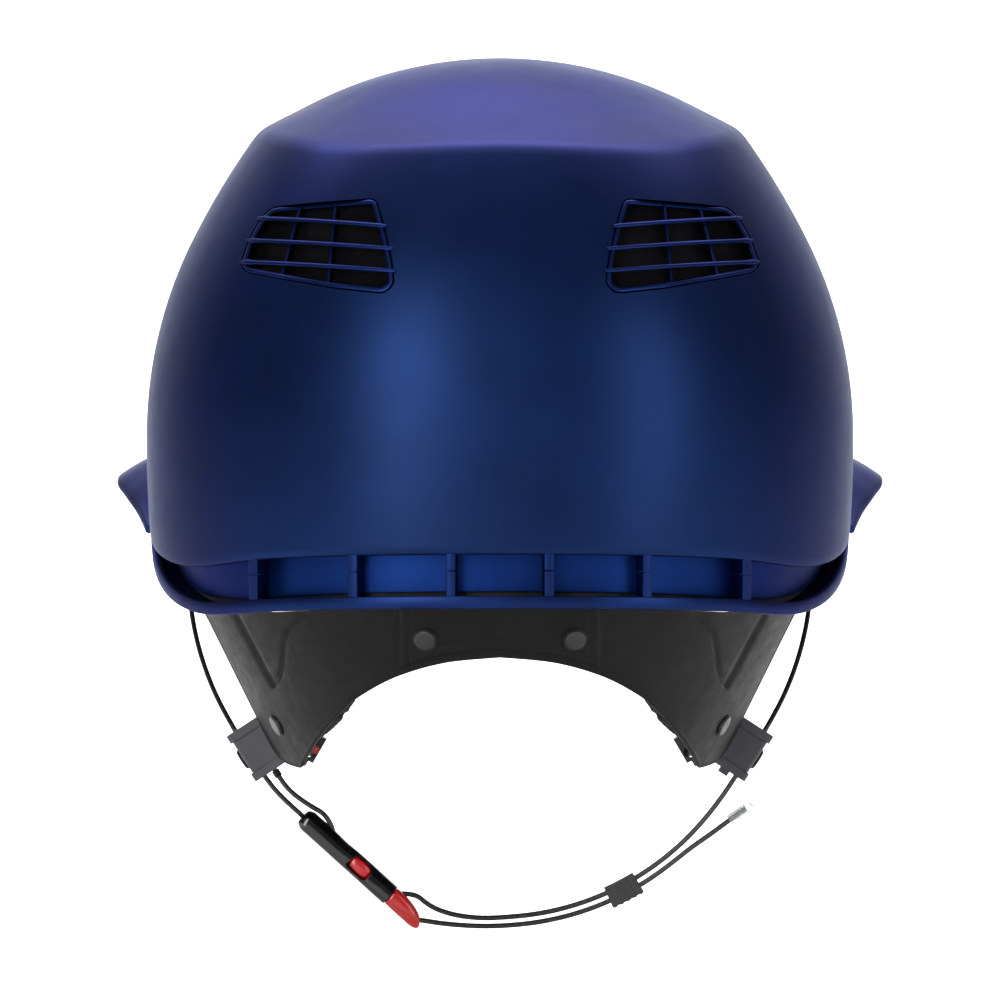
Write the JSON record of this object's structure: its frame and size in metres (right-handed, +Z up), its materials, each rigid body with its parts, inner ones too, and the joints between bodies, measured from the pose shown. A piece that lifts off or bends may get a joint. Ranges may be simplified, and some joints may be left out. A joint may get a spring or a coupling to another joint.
{
  "type": "riding helmet",
  "caption": "Equestrian riding helmet with a double shell, wide visor, rear outlet grilles, leather neck harness and a thin adjustable chin cord with a centre-release buckle.",
  "frame": {"origin": "centre of the head's widest level inside the helmet, on the mirror plane", "axes": "+X to the wearer's right, +Y forwards to the visor, +Z up"},
  "size_m": [0.2586, 0.329, 0.281],
  "materials": {
    "shell_navy": "satin",
    "visor_navy": "satin",
    "rim_navy": "satin",
    "inner_shell_blue": "satin",
    "grille_navy": "satin",
    "vent_mesh": "matte",
    "impact_foam": "matte",
    "spacer_rubber": "matte",
    "pad_fabric": "matte",
    "harness_leather": "matte",
    "lining_fabric": "matte",
    "stud_black": "satin",
    "guide_gray": "matte",
    "rivet_black": "gloss",
    "anchor_black": "matte",
    "clip_black": "satin",
    "red_plastic": "gloss",
    "cord_black": "satin",
    "buckle_black": "gloss",
    "clear_tip": "gloss",
    "ferrule_black": "gloss"
  },
  "bodies": {
    "helmet": {"outer_shell": "shell_navy", "visor": "visor_navy", "rim": "rim_navy", "inner_shell": "inner_shell_blue", "rear_grille_left": "grille_navy", "rear_grille_right": "grille_navy", "front_grille": "grille_navy", "vent_mesh_left": "vent_mesh", "vent_mesh_right": "vent_mesh", "front_vent_mesh": "vent_mesh", "foam_liner": "impact_foam", "shell_spacers": "spacer_rubber", "crown_pad": "pad_fabric", "brow_pad": "pad_fabric", "nape_pad": "pad_fabric", "side_pad_left": "pad_fabric", "side_pad_right": "pad_fabric", "neck_harness": "harness_leather", "nape_tab": "harness_leather", "flap_lining_left": "lining_fabric", "flap_lining_right": "lining_fabric", "nape_stud_left": "stud_black", "nape_stud_right": "stud_black", "ear_stud_left": "stud_black", "ear_stud_right": "stud_black", "cord_guide_left": "guide_gray", "cord_guide_right": "guide_gray", "guide_rivet_left": "rivet_black", "guide_rivet_right": "rivet_black", "cord_anchor_left": "anchor_black", "cord_anchor_right": "anchor_black", "flap_clip_left": "clip_black", "flap_clip_right": "clip_black", "clip_insert": "red_plastic", "cord_upper_left": "cord_black", "cord_upper_right": "cord_black"},
    "chin_strap": {"buckle_housing": "buckle_black", "cord_lower_left": "cord_black", "cord_loop_left": "cord_black", "cord_lower_right": "cord_black", "cord_feed": "cord_black", "cord_return": "cord_black", "cord_tail": "cord_black", "cord_tip": "clear_tip", "cord_ferrule": "ferrule_black"},
    "buckle_plug": {"buckle_plug": "red_plastic"},
    "latch_tongue": {"latch_tongue": "red_plastic"},
    "cord_lock": {"cord_lock": "buckle_black"}
  },
  "joints": [
    {"name": "strap_swing", "type": "hinge", "parent": "helmet", "child": "chin_strap", "pos_m": [0, -0.014, -0.0888], "axis": [1, 0, 0], "range_deg": [-60, 75]},
    {"name": "plug_slide", "type": "slide", "parent": "chin_strap", "child": "buckle_plug", "axis": [0.7431, 0, -0.6691], "range_m": [0, 0.022], "deforming": ["cord_feed", "cord_return"]},
    {"name": "latch_press", "type": "hinge", "parent": "buckle_plug", "child": "latch_tongue", "pos_m": [-0.03887, -0.0151, -0.12399], "axis": [-0.6691, 0, -0.7431], "range_deg": [0, 7], "stiffness_Nm_per_rad": 0.05},
    {"name": "lock_slide", "type": "hinge", "parent": "chin_strap", "child": "cord_lock", "pos_m": [-0.002, -0.014, -0.04564], "axis": [0, 1, 0], "range_deg": [-7.5, 17]}
  ]
}
